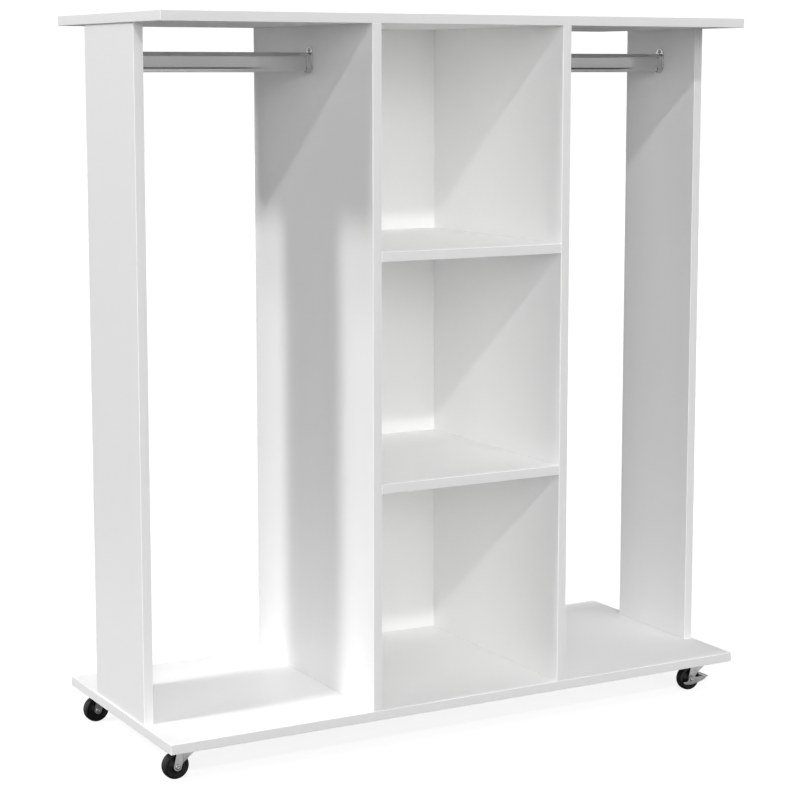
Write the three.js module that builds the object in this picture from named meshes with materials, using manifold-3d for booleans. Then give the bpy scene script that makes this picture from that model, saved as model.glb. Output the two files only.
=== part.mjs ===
// Rolling clothes rack: two hanging bays beside a three-compartment centre bay, on four swivel casters.
// Millimetres, +Z up. The origin is on the floor under the middle of the rack, and the front faces -Y.

import * as THREE from 'three';
import { mergeVertices } from 'three/addons/utils/BufferGeometryUtils.js';
import Module from 'manifold-3d';

const wasm = await Module();
wasm.setup();

// ---- Driving dimensions ----

const RACK_LENGTH = 1000;
const RACK_DEPTH = 400;
const RACK_HEIGHT = 1100;
const BOARD = 15; // thickness of every laminated board
const CLEAR = 0.3; // gap between a piece and the hole, groove or neighbour that it is cut to

const CENTRE_BAY = 313; // clear width between the dividers
const COMPARTMENTS = 3;
const SIDE_BOARD_DEPTH = 190;
const SIDE_BOARD_INSET = 2.5; // how far the side boards stand in from the ends of the top and base
const BACK_PANEL = 3;
const BACK_INSET = 10; // from the rear edge to the rear face of the back panel
const GROOVE_DEPTH = 5;

const RAIL_HEIGHT = 30;
const RAIL_WIDTH = 15;
const RAIL_WALL = 1;
const RAIL_DROP = 55; // from the top board's underside to the rail's centre line
const SOCKET_PLATE = 1.5;
const SOCKET_EDGE = 1.7; // how far the wall plate stands out beside the cup
const SOCKET_TAB = 9; // height of the socket's screw tab above the rail
const SOCKET_LIP = 1.5;
const SOCKET_CUP = 8; // how far the cup reaches along the rail

const FIXING_SHANK = 2.4; // radii and lengths of the furniture screws through the top and base
const FIXING_HEAD = 4.5;
const FIXING_HEAD_HEIGHT = 3;
const FIXING_LENGTH = 48;
const FIXING_KEY = 1.8;
const SIDE_SCREW_FROM_EDGE = 30;
const DIVIDER_SCREW_FROM_EDGE = 60;

const RAIL_SCREW_SHANK = 1.7;
const RAIL_SCREW_HEAD = 3.4;
const RAIL_SCREW_HEAD_HEIGHT = 1.8;
const RAIL_SCREW_LENGTH = 12;

const WHEEL_RADIUS = 20;
const WHEEL_WIDTH = 16;
const HUB_RADIUS = 7;
const TREAD = 5; // from the wheel's recessed web to its running surface
const WEB_RECESS = 3;
const SHOULDER = 3.5; // rounding of the tread's shoulders
const CROWN_GAP = 2.7; // from the top of the wheel to the underside of the fork head
const CASTER_TRAIL = 16; // how far the axle stands behind the swivel axis
const CASTER_FROM_END = 40;
const CASTER_FROM_FRONT = 42.5;
const AXLE_RADIUS = 2.5;
const AXLE_HEAD = 4;
const AXLE_HEAD_HEIGHT = 1.4;
const WHEEL_SIDE_GAP = 1; // each side, between the wheel and its fork leg
const FORK_SHEET = 1.6;
const FORK_LEG = 6.3; // half the width of a leg at the axle
const FORK_HEAD_RADIUS = 17;
const FORK_HEAD_SHEET = 2;
const MOUNT_PLATE = 45;
const MOUNT_SHEET = 2;
const MOUNT_CORNER = 5;
const MOUNT_HOLE = 2.3;
const MOUNT_HOLE_PITCH = 32;
const RACE_DEPTH = 3; // the bearing race between the mounting plate and the fork head
const RACE_RADIUS = 13;
const KINGPIN_RADIUS = 3;
const KINGPIN_HEAD = 5.5;
const KINGPIN_HEAD_HEIGHT = 1.5;
const PEDAL_SHEET = 1.5;
const PEDAL_HEEL = 17; // how far the pedal's cheeks reach behind the axle
const PEDAL_PAD = 12.2; // length of the foot pad beyond the wheel
const PEDAL_PAD_FLAT = 5;
const PEDAL_WHEEL_GAP = 0.8;

const HEAD_SIDES = 18; // sides of the caster heads
const ROUND = 10; // sides of screws and holes
const WHEEL_SIDES = 24;
const CURVE = 5; // steps along each arc of an extruded outline

// ---- Derived places ----

const HEAD_TOP = -MOUNT_SHEET - RACE_DEPTH - CLEAR; // heights in a caster are below the base board
const HEAD_BOTTOM = HEAD_TOP - FORK_HEAD_SHEET;
const AXLE_DROP = WHEEL_RADIUS + CROWN_GAP - HEAD_BOTTOM;
const CASTER_HEIGHT = AXLE_DROP + WHEEL_RADIUS;
const BASE_BOTTOM = CASTER_HEIGHT;
const BASE_TOP = BASE_BOTTOM + BOARD;
const TOP_BOTTOM = RACK_HEIGHT - BOARD;
const UPRIGHT_HEIGHT = TOP_BOTTOM - BASE_TOP;
const SIDE_X = RACK_LENGTH / 2 - SIDE_BOARD_INSET - BOARD / 2;
const DIVIDER_X = (CENTRE_BAY + BOARD) / 2;
const PANEL_Y = RACK_DEPTH / 2 - BACK_INSET - BACK_PANEL / 2;
const SHELF_BACK_Y = PANEL_Y - BACK_PANEL / 2 - CLEAR;
const COMPARTMENT = (UPRIGHT_HEIGHT - (COMPARTMENTS - 1) * BOARD) / COMPARTMENTS;
const RAIL_Z = TOP_BOTTOM - RAIL_DROP;
const LEG_INSIDE = WHEEL_WIDTH / 2 + WHEEL_SIDE_GAP;
const LEG_OUTSIDE = LEG_INSIDE + FORK_SHEET;
const PEDAL_INSIDE = LEG_OUTSIDE + CLEAR;
const PEDAL_OUTSIDE = PEDAL_INSIDE + PEDAL_SHEET;
const PEDAL_PAD_START = WHEEL_RADIUS + PEDAL_WHEEL_GAP;
const PEDAL_REACH = PEDAL_PAD_START + PEDAL_PAD;
const SOCKET_WIDTH = RAIL_WIDTH + 2 * (CLEAR + SOCKET_LIP + SOCKET_EDGE);
const SIDE_SCREW_Y = SIDE_BOARD_DEPTH / 2 - SIDE_SCREW_FROM_EDGE;
const DIVIDER_SCREW_Y = RACK_DEPTH / 2 - DIVIDER_SCREW_FROM_EDGE;

// ---- Materials ----

const laminate = new THREE.MeshStandardMaterial({ color: 0xf1f1f0, roughness: 0.42, metalness: 0 });
const backing = new THREE.MeshStandardMaterial({ color: 0xececeb, roughness: 0.55, metalness: 0 });
const chrome = new THREE.MeshStandardMaterial({ color: 0xc9cacb, roughness: 0.16, metalness: 1 });
const zinc = new THREE.MeshStandardMaterial({ color: 0xa9aaab, roughness: 0.38, metalness: 1 });
const steel = new THREE.MeshStandardMaterial({ color: 0xb9babb, roughness: 0.3, metalness: 1 });
const blackPlastic = new THREE.MeshStandardMaterial({ color: 0x1b1b1c, roughness: 0.45, metalness: 0 });

// ---- Solids ----

/** A manifold solid from a closed three.js geometry. */
function solidOf(geometry) {
  const bare = geometry.clone();
  bare.deleteAttribute('normal');
  bare.deleteAttribute('uv');
  const merged = mergeVertices(bare, 1e-4);
  const corners = merged.index.array;
  const kept = [];
  for (let i = 0; i < corners.length; i += 3) {
    const [a, b, c] = [corners[i], corners[i + 1], corners[i + 2]];
    if (a !== b && b !== c && c !== a) kept.push(a, b, c);
  }
  return new wasm.Manifold(new wasm.Mesh({
    numProp: 3,
    vertProperties: new Float32Array(merged.attributes.position.array),
    triVerts: new Uint32Array(kept),
  }));
}

/** A three.js geometry from a manifold solid. */
function geometryOf(solid) {
  const mesh = solid.getMesh();
  const geometry = new THREE.BufferGeometry();
  geometry.setAttribute('position', new THREE.BufferAttribute(mesh.vertProperties, 3));
  geometry.setIndex(new THREE.BufferAttribute(mesh.triVerts, 1));
  geometry.computeVertexNormals();
  return geometry;
}

function joined(first, ...others) {
  return others.reduce((solid, other) => solid.add(solidOf(other)), solidOf(first));
}

function cutFrom(solid, tools) {
  return tools.reduce((left, tool) => left.subtract(solidOf(tool)), solid);
}

function meshOf(name, geometry, material) {
  const mesh = new THREE.Mesh(geometry, material);
  mesh.name = name;
  return mesh;
}

/** A block between two corners. */
function block([x0, y0, z0], [x1, y1, z1]) {
  const geometry = new THREE.BoxGeometry(x1 - x0, y1 - y0, z1 - z0);
  return geometry.translate((x0 + x1) / 2, (y0 + y1) / 2, (z0 + z1) / 2);
}

/** A solid turned about Y from [radius, height] points that run upwards. */
function turned(profile, sides) {
  return new THREE.LatheGeometry(profile.map(([r, y]) => new THREE.Vector2(r, y)), sides);
}

/** A cylinder along Z between two heights. */
function drill(radius, x, y, z0, z1) {
  const geometry = new THREE.CylinderGeometry(radius, radius, z1 - z0, ROUND);
  return geometry.rotateX(Math.PI / 2).translate(x, y, (z0 + z1) / 2);
}

function extruded(shape, depth, curveSegments) {
  return new THREE.ExtrudeGeometry(shape, { depth, curveSegments, bevelEnabled: false });
}

/** A flat outline drawn in X and Z, extruded along Y between two places. */
function plateAlongY(shape, y0, y1) {
  return extruded(shape, y1 - y0, CURVE).rotateX(Math.PI / 2).translate(0, y1, 0);
}

function roundHole(x, z, radius) {
  const hole = new THREE.Path();
  hole.absarc(x, z, radius, 0, 2 * Math.PI, true);
  return hole;
}

// ---- Fixing screws through the top and base into the four uprights ----

const UPRIGHTS = [
  { name: 'left_side', x: -SIDE_X, y: SIDE_SCREW_Y },
  { name: 'left_divider', x: -DIVIDER_X, y: DIVIDER_SCREW_Y },
  { name: 'right_divider', x: DIVIDER_X, y: DIVIDER_SCREW_Y },
  { name: 'right_side', x: SIDE_X, y: SIDE_SCREW_Y },
];

/** A countersunk screw along Z whose head face is at the origin and whose tip points down. */
function fixingScrew() {
  const profile = [
    [0, -FIXING_LENGTH],
    [FIXING_SHANK, -FIXING_LENGTH + 2 * FIXING_SHANK],
    [FIXING_SHANK, -FIXING_HEAD_HEIGHT],
    [FIXING_HEAD, -FIXING_HEAD_HEIGHT / 3],
    [FIXING_HEAD, 0],
    [FIXING_KEY, 0],
    [FIXING_KEY, -FIXING_HEAD_HEIGHT * 0.6],
    [0, -FIXING_HEAD_HEIGHT * 0.6],
  ];
  return turned(profile, ROUND).rotateX(Math.PI / 2);
}

/** The bore and head recess of one fixing screw. side is 1 on top and -1 below. */
function fixingCuts(x, y, side) {
  const face = side > 0 ? RACK_HEIGHT : BASE_BOTTOM;
  const bottom = face - side * (FIXING_LENGTH + 2);
  const recess = face - side * (FIXING_HEAD_HEIGHT + CLEAR);
  const beyond = face + side;
  const span = (from, to) => [Math.min(from, to), Math.max(from, to)];
  return [
    drill(FIXING_SHANK + CLEAR, x, y, ...span(bottom, beyond)),
    drill(FIXING_HEAD + CLEAR, x, y, ...span(recess, beyond)),
  ];
}

function fixingScrews() {
  const screws = new THREE.Group();
  for (const { name, x, y } of UPRIGHTS) {
    for (const [place, sign] of [['front', -1], ['rear', 1]]) {
      const top = meshOf(`top_screw_${name}_${place}`, fixingScrew(), steel);
      top.position.set(x, sign * y, RACK_HEIGHT);
      const base = meshOf(`base_screw_${name}_${place}`, fixingScrew(), steel);
      base.position.set(x, sign * y, BASE_BOTTOM);
      base.rotation.x = Math.PI;
      screws.add(top, base);
    }
  }
  return screws;
}

// ---- Boards ----

/** A board between two corners, with the given cuts, placed by its middle. */
function board(name, low, high, cuts, material) {
  const middle = low.map((value, axis) => (value + high[axis]) / 2);
  const solid = cutFrom(solidOf(block(low, high)), cuts).translate(middle.map((value) => -value));
  const mesh = meshOf(name, geometryOf(solid), material);
  mesh.position.set(...middle);
  return mesh;
}

function upright(name, x, depth, screwY, cuts) {
  const screwCuts = [-1, 1].flatMap((sign) => [
    ...fixingCuts(x, sign * screwY, 1),
    ...fixingCuts(x, sign * screwY, -1),
  ]);
  const low = [x - BOARD / 2, -depth / 2, BASE_TOP];
  const high = [x + BOARD / 2, depth / 2, TOP_BOTTOM];
  return board(name, low, high, [...screwCuts, ...cuts], laminate);
}

function flatBoard(name, bottom, side) {
  const cuts = UPRIGHTS.flatMap(({ x, y }) => [...fixingCuts(x, -y, side), ...fixingCuts(x, y, side)]);
  const half = [RACK_LENGTH / 2, RACK_DEPTH / 2];
  return board(name, [-half[0], -half[1], bottom], [half[0], half[1], bottom + BOARD], cuts, laminate);
}

/** The groove in a divider's inner face that holds the edge of the back panel. */
function panelGroove(side) {
  const inner = side * CENTRE_BAY / 2;
  const deep = side * (CENTRE_BAY / 2 + GROOVE_DEPTH);
  const halfWidth = BACK_PANEL / 2 + CLEAR;
  return block(
    [Math.min(inner - side, deep), PANEL_Y - halfWidth, BASE_TOP - 1],
    [Math.max(inner - side, deep), PANEL_Y + halfWidth, TOP_BOTTOM + 1],
  );
}

function boards() {
  const group = new THREE.Group();
  group.add(flatBoard('top_board', TOP_BOTTOM, 1), flatBoard('bottom_board', BASE_BOTTOM, -1));
  for (const [word, side] of [['left', -1], ['right', 1]]) {
    const outer = railCuts(side * (SIDE_X - BOARD / 2), side);
    const inner = railCuts(side * (DIVIDER_X + BOARD / 2), -side);
    group.add(upright(`${word}_side_board`, side * SIDE_X, SIDE_BOARD_DEPTH, SIDE_SCREW_Y, outer));
    const cuts = [...inner, panelGroove(side)];
    group.add(upright(`${word}_divider`, side * DIVIDER_X, RACK_DEPTH, DIVIDER_SCREW_Y, cuts));
  }
  for (const [name, level] of [['lower_shelf', 1], ['upper_shelf', 2]]) {
    const bottom = BASE_TOP + level * COMPARTMENT + (level - 1) * BOARD;
    const low = [-CENTRE_BAY / 2, -RACK_DEPTH / 2, bottom];
    const high = [CENTRE_BAY / 2, SHELF_BACK_Y, bottom + BOARD];
    group.add(board(name, low, high, [], laminate));
  }
  const halfPanel = CENTRE_BAY / 2 + GROOVE_DEPTH - CLEAR;
  group.add(board(
    'back_panel',
    [-halfPanel, PANEL_Y - BACK_PANEL / 2, BASE_TOP + CLEAR],
    [halfPanel, PANEL_Y + BACK_PANEL / 2, TOP_BOTTOM - CLEAR],
    [],
    backing,
  ));
  return group;
}

// ---- Hanging rails and their sockets ----

/** An oval with straight sides, its middle at the origin: width along X, height along Y. */
function ovalOutline(width, height, Kind) {
  const radius = width / 2;
  const straight = height / 2 - radius;
  const outline = new Kind();
  outline.moveTo(radius, -straight);
  outline.lineTo(radius, straight);
  outline.absarc(0, straight, radius, 0, Math.PI, false);
  outline.lineTo(-radius, -straight);
  outline.absarc(0, -straight, radius, Math.PI, 2 * Math.PI, false);
  return outline;
}

/** An outline drawn in Y and Z, extruded along X from 0 towards +X. */
function plateAlongX(shape, depth) {
  return extruded(shape, depth, CURVE).rotateX(Math.PI / 2).rotateZ(Math.PI / 2);
}

function railMesh(name, low, high) {
  const shape = ovalOutline(RAIL_WIDTH, RAIL_HEIGHT, THREE.Shape);
  shape.holes.push(ovalOutline(RAIL_WIDTH - 2 * RAIL_WALL, RAIL_HEIGHT - 2 * RAIL_WALL, THREE.Path));
  const rail = meshOf(name, plateAlongX(shape, high - low), chrome);
  rail.position.set(low, 0, RAIL_Z);
  return rail;
}

const TAB_SCREW_Z = RAIL_HEIGHT / 2 + RAIL_SCREW_HEAD + 2 * CLEAR;

/** The wall plate of a socket, with its screw holes. */
function socketPlateShape() {
  const half = SOCKET_WIDTH / 2;
  const top = RAIL_HEIGHT / 2 + SOCKET_TAB;
  const lowRound = -RAIL_HEIGHT / 2 - SOCKET_LIP - CLEAR + half;
  const shape = new THREE.Shape();
  shape.moveTo(half, lowRound);
  shape.lineTo(half, top - half);
  shape.absarc(0, top - half, half, 0, Math.PI, false);
  shape.lineTo(-half, lowRound);
  shape.absarc(0, lowRound, half, Math.PI, 2 * Math.PI, false);
  for (const z of [0, TAB_SCREW_Z]) shape.holes.push(roundHole(0, z, RAIL_SCREW_SHANK + CLEAR));
  return shape;
}

/** The U-shaped lip that cradles the rail from below. */
function socketLipShape() {
  const inner = RAIL_WIDTH / 2 + CLEAR;
  const outer = inner + SOCKET_LIP;
  const bend = -(RAIL_HEIGHT - RAIL_WIDTH) / 2;
  const top = -bend + RAIL_WIDTH / 4;
  const shape = new THREE.Shape();
  shape.moveTo(outer, top);
  shape.lineTo(inner, top);
  shape.lineTo(inner, bend);
  shape.absarc(0, bend, inner, 0, -Math.PI, true);
  shape.lineTo(-inner, top);
  shape.lineTo(-outer, top);
  shape.lineTo(-outer, bend);
  shape.absarc(0, bend, outer, -Math.PI, 0, false);
  return shape;
}

/** A socket on an upright's face at x. direction is 1 if it faces +X, and -1 if it faces -X. */
function socketMesh(name, x, direction) {
  const solid = joined(
    plateAlongX(socketPlateShape(), SOCKET_PLATE),
    plateAlongX(socketLipShape(), SOCKET_PLATE + SOCKET_CUP),
  );
  const socket = meshOf(name, geometryOf(solid), chrome);
  socket.position.set(x, 0, RAIL_Z);
  if (direction < 0) socket.rotation.z = Math.PI;
  return socket;
}

/** A pan head screw along X, with its head on the plate of a socket and its tip in the board. */
function railScrew(name, x, z, direction) {
  const headEdge = RAIL_SCREW_HEAD_HEIGHT / 2;
  const profile = [
    [0, -RAIL_SCREW_LENGTH],
    [RAIL_SCREW_SHANK, -RAIL_SCREW_LENGTH + 2 * RAIL_SCREW_SHANK],
    [RAIL_SCREW_SHANK, 0],
    [RAIL_SCREW_HEAD, 0],
    [RAIL_SCREW_HEAD, headEdge],
    [RAIL_SCREW_HEAD - headEdge, RAIL_SCREW_HEAD_HEIGHT],
    [0, RAIL_SCREW_HEAD_HEIGHT],
  ];
  const screw = meshOf(name, turned(profile, ROUND).rotateZ(-Math.PI / 2), steel);
  screw.position.set(x + direction * (SOCKET_PLATE + CLEAR / 2), 0, z);
  if (direction < 0) screw.rotation.z = Math.PI;
  return screw;
}

/** The pilot holes of a socket's two screws, in the upright whose face is at x. */
function railCuts(x, wall) {
  const depth = RAIL_SCREW_LENGTH - SOCKET_PLATE + CLEAR;
  return [0, TAB_SCREW_Z].map((z) => {
    const hole = new THREE.CylinderGeometry(
      RAIL_SCREW_SHANK + CLEAR, RAIL_SCREW_SHANK + CLEAR, depth + 1, ROUND,
    );
    return hole.rotateZ(Math.PI / 2).translate(x + wall * (depth - 1) / 2, 0, RAIL_Z + z);
  });
}

function hangingRails() {
  const group = new THREE.Group();
  for (const [word, side] of [['left', -1], ['right', 1]]) {
    const faces = [
      { end: 'inner', x: side * (DIVIDER_X + BOARD / 2), direction: side },
      { end: 'outer', x: side * (SIDE_X - BOARD / 2), direction: -side },
    ];
    for (const { end, x, direction } of faces) {
      group.add(socketMesh(`${word}_rail_${end}_socket`, x, direction));
      group.add(railScrew(`${word}_rail_${end}_lower_screw`, x, RAIL_Z, direction));
      group.add(railScrew(`${word}_rail_${end}_upper_screw`, x, RAIL_Z + TAB_SCREW_Z, direction));
    }
    const ends = faces.map(({ x, direction }) => x + direction * (SOCKET_PLATE + CLEAR));
    group.add(railMesh(`${word}_hanging_rail`, Math.min(...ends), Math.max(...ends)));
  }
  return group;
}

// ---- Casters: the origin is where the swivel axis meets the base board's underside ----

/** The mounting plate with its screw holes, bearing race and riveted kingpin. */
function casterPlate(name) {
  const half = MOUNT_PLATE / 2;
  const straight = half - MOUNT_CORNER;
  const shape = new THREE.Shape();
  shape.moveTo(half, -straight);
  shape.absarc(straight, straight, MOUNT_CORNER, 0, Math.PI / 2, false);
  shape.absarc(-straight, straight, MOUNT_CORNER, Math.PI / 2, Math.PI, false);
  shape.absarc(-straight, -straight, MOUNT_CORNER, Math.PI, 1.5 * Math.PI, false);
  shape.absarc(straight, -straight, MOUNT_CORNER, 1.5 * Math.PI, 2 * Math.PI, false);
  for (const x of [-1, 1]) {
    for (const y of [-1, 1]) {
      shape.holes.push(roundHole(x * MOUNT_HOLE_PITCH / 2, y * MOUNT_HOLE_PITCH / 2, MOUNT_HOLE));
    }
  }
  const plate = extruded(shape, MOUNT_SHEET, CURVE);
  const raceBottom = -MOUNT_SHEET - RACE_DEPTH;
  const rivetTop = HEAD_BOTTOM - CLEAR;
  const race = turned([
    [0, rivetTop - KINGPIN_HEAD_HEIGHT],
    [KINGPIN_HEAD - 1, rivetTop - KINGPIN_HEAD_HEIGHT],
    [KINGPIN_HEAD, rivetTop],
    [KINGPIN_RADIUS, rivetTop],
    [KINGPIN_RADIUS, raceBottom],
    [RACE_RADIUS, raceBottom],
    [RACE_RADIUS + RACE_DEPTH / 2, -MOUNT_SHEET / 2],
    [0, -MOUNT_SHEET / 2],
  ], HEAD_SIDES);
  const solid = joined(plate.translate(0, 0, -MOUNT_SHEET), race.rotateX(Math.PI / 2));
  return meshOf(name, geometryOf(solid), zinc);
}

/** The side outline of a fork leg: a round foot at the axle that widens into the head. */
function forkLegShape() {
  const shape = new THREE.Shape();
  shape.moveTo(FORK_HEAD_RADIUS, HEAD_TOP);
  shape.lineTo(-FORK_HEAD_RADIUS, HEAD_TOP);
  shape.lineTo(-FORK_HEAD_RADIUS, HEAD_BOTTOM);
  shape.lineTo(-CASTER_TRAIL - FORK_LEG, -AXLE_DROP);
  shape.absarc(-CASTER_TRAIL, -AXLE_DROP, FORK_LEG, Math.PI, 2 * Math.PI, false);
  shape.lineTo(-CASTER_TRAIL + FORK_LEG, -AXLE_DROP + FORK_LEG);
  shape.lineTo(FORK_HEAD_RADIUS, HEAD_BOTTOM);
  shape.holes.push(roundHole(-CASTER_TRAIL, -AXLE_DROP, AXLE_RADIUS + CLEAR));
  return shape;
}

function casterFork(name) {
  const head = turned([
    [KINGPIN_RADIUS + CLEAR, HEAD_BOTTOM],
    [FORK_HEAD_RADIUS, HEAD_BOTTOM],
    [FORK_HEAD_RADIUS, HEAD_TOP],
    [KINGPIN_RADIUS + CLEAR, HEAD_TOP],
    [KINGPIN_RADIUS + CLEAR, HEAD_BOTTOM],
  ], HEAD_SIDES);
  const solid = joined(
    head.rotateX(Math.PI / 2),
    plateAlongY(forkLegShape(), -LEG_OUTSIDE, -LEG_INSIDE),
    plateAlongY(forkLegShape(), LEG_INSIDE, LEG_OUTSIDE),
  );
  return meshOf(name, geometryOf(solid), zinc);
}

/** The wheel, with its lowest flat on the floor. */
function casterWheel(name) {
  const half = WHEEL_WIDTH / 2;
  const bore = AXLE_RADIUS + CLEAR;
  const rim = WHEEL_RADIUS - TREAD;
  const side = [
    [bore, half],
    [HUB_RADIUS, half],
    [HUB_RADIUS + 1, half - WEB_RECESS],
    [rim - 1, half - WEB_RECESS],
    [rim, half - SHOULDER / 4],
    [WHEEL_RADIUS - SHOULDER + 1, half - SHOULDER / 4],
    [WHEEL_RADIUS - SHOULDER / 4, half - SHOULDER / 2],
    [WHEEL_RADIUS, half - SHOULDER],
  ];
  const mirrored = side.map(([radius, y]) => [radius, -y]);
  const profile = [...mirrored, ...side.reverse(), mirrored[0]];
  const flat = 1 / Math.cos(Math.PI / WHEEL_SIDES);
  const geometry = turned(profile, WHEEL_SIDES).rotateY(Math.PI / WHEEL_SIDES).scale(flat, 1, flat);
  const wheel = meshOf(name, geometry, blackPlastic);
  wheel.position.set(-CASTER_TRAIL, 0, -AXLE_DROP);
  return wheel;
}

/** The riveted axle. inside is where its heads start, on each side. */
function casterAxle(name, inside) {
  const outside = inside + AXLE_HEAD_HEIGHT;
  const half = [
    [0, -outside],
    [AXLE_HEAD - 1, -outside],
    [AXLE_HEAD, -outside + AXLE_HEAD_HEIGHT / 2],
    [AXLE_HEAD, -inside],
    [AXLE_RADIUS, -inside],
  ];
  const mirrored = half.map(([radius, y]) => [radius, -y]).reverse();
  const axle = meshOf(name, turned([...half, ...mirrored], ROUND), steel);
  axle.position.set(-CASTER_TRAIL, 0, -AXLE_DROP);
  return axle;
}

/** The side outline of the brake pedal's cheek, with the axle at the origin. */
function pedalCheekShape() {
  const padEnd = PEDAL_PAD_START + PEDAL_PAD_FLAT;
  const shape = new THREE.Shape();
  shape.moveTo(-PEDAL_HEEL, -3);
  shape.lineTo(-PEDAL_HEEL + 1, -6.5);
  shape.quadraticCurveTo(-2, -11, 11, -7);
  shape.lineTo(padEnd, -3.5);
  shape.lineTo(padEnd, 1.5);
  shape.lineTo(8, 2.5);
  shape.absarc(0, 0, FORK_LEG - 1, 0.4, 2.7, false);
  shape.lineTo(-8, -4);
  shape.holes.push(roundHole(0, 0, AXLE_RADIUS + CLEAR));
  return shape;
}

/** The side outline of the foot pad that joins the two cheeks in front of the wheel. */
function pedalPadShape() {
  const flatEnd = PEDAL_PAD_START + PEDAL_PAD_FLAT;
  const shape = new THREE.Shape();
  shape.moveTo(PEDAL_PAD_START, -3.5);
  shape.lineTo(flatEnd, -3.5);
  shape.lineTo(PEDAL_REACH - 3, -0.5);
  shape.lineTo(PEDAL_REACH, 0.5);
  shape.lineTo(PEDAL_REACH, 2);
  shape.lineTo(flatEnd, 1.5);
  shape.lineTo(PEDAL_PAD_START, -1);
  return shape;
}

function brakePedal(name) {
  const solid = joined(
    plateAlongY(pedalPadShape(), -PEDAL_OUTSIDE, PEDAL_OUTSIDE),
    plateAlongY(pedalCheekShape(), -PEDAL_OUTSIDE, -PEDAL_INSIDE),
    plateAlongY(pedalCheekShape(), PEDAL_INSIDE, PEDAL_OUTSIDE),
  );
  const pedal = meshOf(name, geometryOf(solid), zinc);
  pedal.position.set(-CASTER_TRAIL, 0, -AXLE_DROP);
  return pedal;
}

function casters() {
  const group = new THREE.Group();
  for (const [end, side] of [['left', -1], ['right', 1]]) {
    for (const [place, sign] of [['front', -1], ['rear', 1]]) {
      const word = `${place}_${end}`;
      const braked = side > 0;
      const caster = new THREE.Group();
      caster.add(casterPlate(`${word}_caster_plate`));
      caster.add(casterFork(`${word}_caster_fork`));
      caster.add(casterWheel(`${word}_caster_wheel`));
      caster.add(casterAxle(`${word}_caster_axle`, (braked ? PEDAL_OUTSIDE : LEG_OUTSIDE) + CLEAR));
      if (braked) caster.add(brakePedal(`${word}_brake_pedal`));
      caster.position.set(
        side * (RACK_LENGTH / 2 - CASTER_FROM_END),
        sign * (RACK_DEPTH / 2 - CASTER_FROM_FRONT),
        BASE_BOTTOM,
      );
      group.add(caster);
    }
  }
  return group;
}

const rack = new THREE.Group();
rack.name = 'rolling_clothes_rack';
rack.add(boards(), fixingScrews(), hangingRails(), casters());

export default rack;
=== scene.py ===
# %% [markdown]
# # A rolling clothes rack
# The rack is flat-pack furniture: nine white boards, two chrome hanging rails and four swivel casters.
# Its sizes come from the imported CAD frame, and this lesson gives each piece the surface of the real one.
# Everything is in metres, +Z is up, the open front faces -Y, and the braked casters are at the +X end.

# %% Load the frame
import bmesh
import bpy
import math
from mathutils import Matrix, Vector


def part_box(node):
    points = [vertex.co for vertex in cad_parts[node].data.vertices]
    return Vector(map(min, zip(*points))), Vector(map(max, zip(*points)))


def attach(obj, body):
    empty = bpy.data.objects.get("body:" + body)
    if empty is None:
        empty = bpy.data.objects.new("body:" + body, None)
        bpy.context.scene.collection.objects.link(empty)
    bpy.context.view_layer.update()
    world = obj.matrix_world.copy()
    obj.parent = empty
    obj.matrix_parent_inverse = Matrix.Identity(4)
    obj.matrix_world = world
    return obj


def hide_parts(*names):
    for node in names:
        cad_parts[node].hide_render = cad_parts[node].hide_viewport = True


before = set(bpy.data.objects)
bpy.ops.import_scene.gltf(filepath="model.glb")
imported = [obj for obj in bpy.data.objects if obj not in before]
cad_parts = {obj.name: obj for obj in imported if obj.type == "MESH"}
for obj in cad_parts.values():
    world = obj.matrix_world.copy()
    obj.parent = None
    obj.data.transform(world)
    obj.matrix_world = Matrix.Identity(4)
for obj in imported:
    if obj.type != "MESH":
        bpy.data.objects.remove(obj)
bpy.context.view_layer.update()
MM = 0.001

# %% [markdown]
# ## Camera
# The rack is seen from its front left corner, from about the height of its top board, with a long lens.
# A long lens from three metres away keeps the uprights close to parallel, as furniture is usually shown.
# The lens is turned down a little, and a small shift does the rest of the framing.

# %% Camera
CAMERA_PLACE = (-1.6389, -2.9063, 1.0169)
CAMERA_YAW = math.radians(29.2)  # to the right of straight back
CAMERA_PITCH = math.radians(7.55)  # below level
CAMERA_LENS = 95.4
CAMERA_SHIFT = -0.06
RACK_MIDDLE = Vector((0, 0, 0.55))

camera = bpy.data.cameras.new("camera")
camera.lens = CAMERA_LENS
camera.sensor_width = 36
camera.shift_y = CAMERA_SHIFT
camera.clip_end = 60
camera_object = bpy.data.objects.new("camera", camera)
camera_object.location = CAMERA_PLACE
camera_object.rotation_euler = (math.pi / 2 - CAMERA_PITCH, 0, -CAMERA_YAW)
bpy.context.scene.collection.objects.link(camera_object)
bpy.context.scene.camera = camera_object
print("camera:", round((Vector(CAMERA_PLACE) - RACK_MIDDLE).length, 2), "m from the middle of the rack")

# %% [markdown]
# ## Node graphs written as code
# Materials here are worked out from noise and geometry, so there is a lot of arithmetic on sockets.
# `Amount` wraps a socket and overloads the operators, so that `0.4 + 0.1 * cloud` adds its own Math nodes.
# Every other node is made by one method, `Graph.node`, which takes a type, its settings and its inputs.

# %% A graph and its amounts
class Graph:
    """One node tree. node() adds a node, sets its settings, and then fills or links its inputs."""

    def __init__(self, tree):
        self.tree = tree

    def node(self, kind, inputs=None, settings=None):
        made = self.tree.nodes.new(kind)
        for name, value in (settings or {}).items():
            setattr(made, name, value)
        for name, value in (inputs or {}).items():
            socket = made.inputs[name]
            value = value.socket if isinstance(value, Amount) else value
            if isinstance(value, bpy.types.NodeSocket):
                self.tree.links.new(value, socket)
            else:
                socket.default_value = value
        return made


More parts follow.
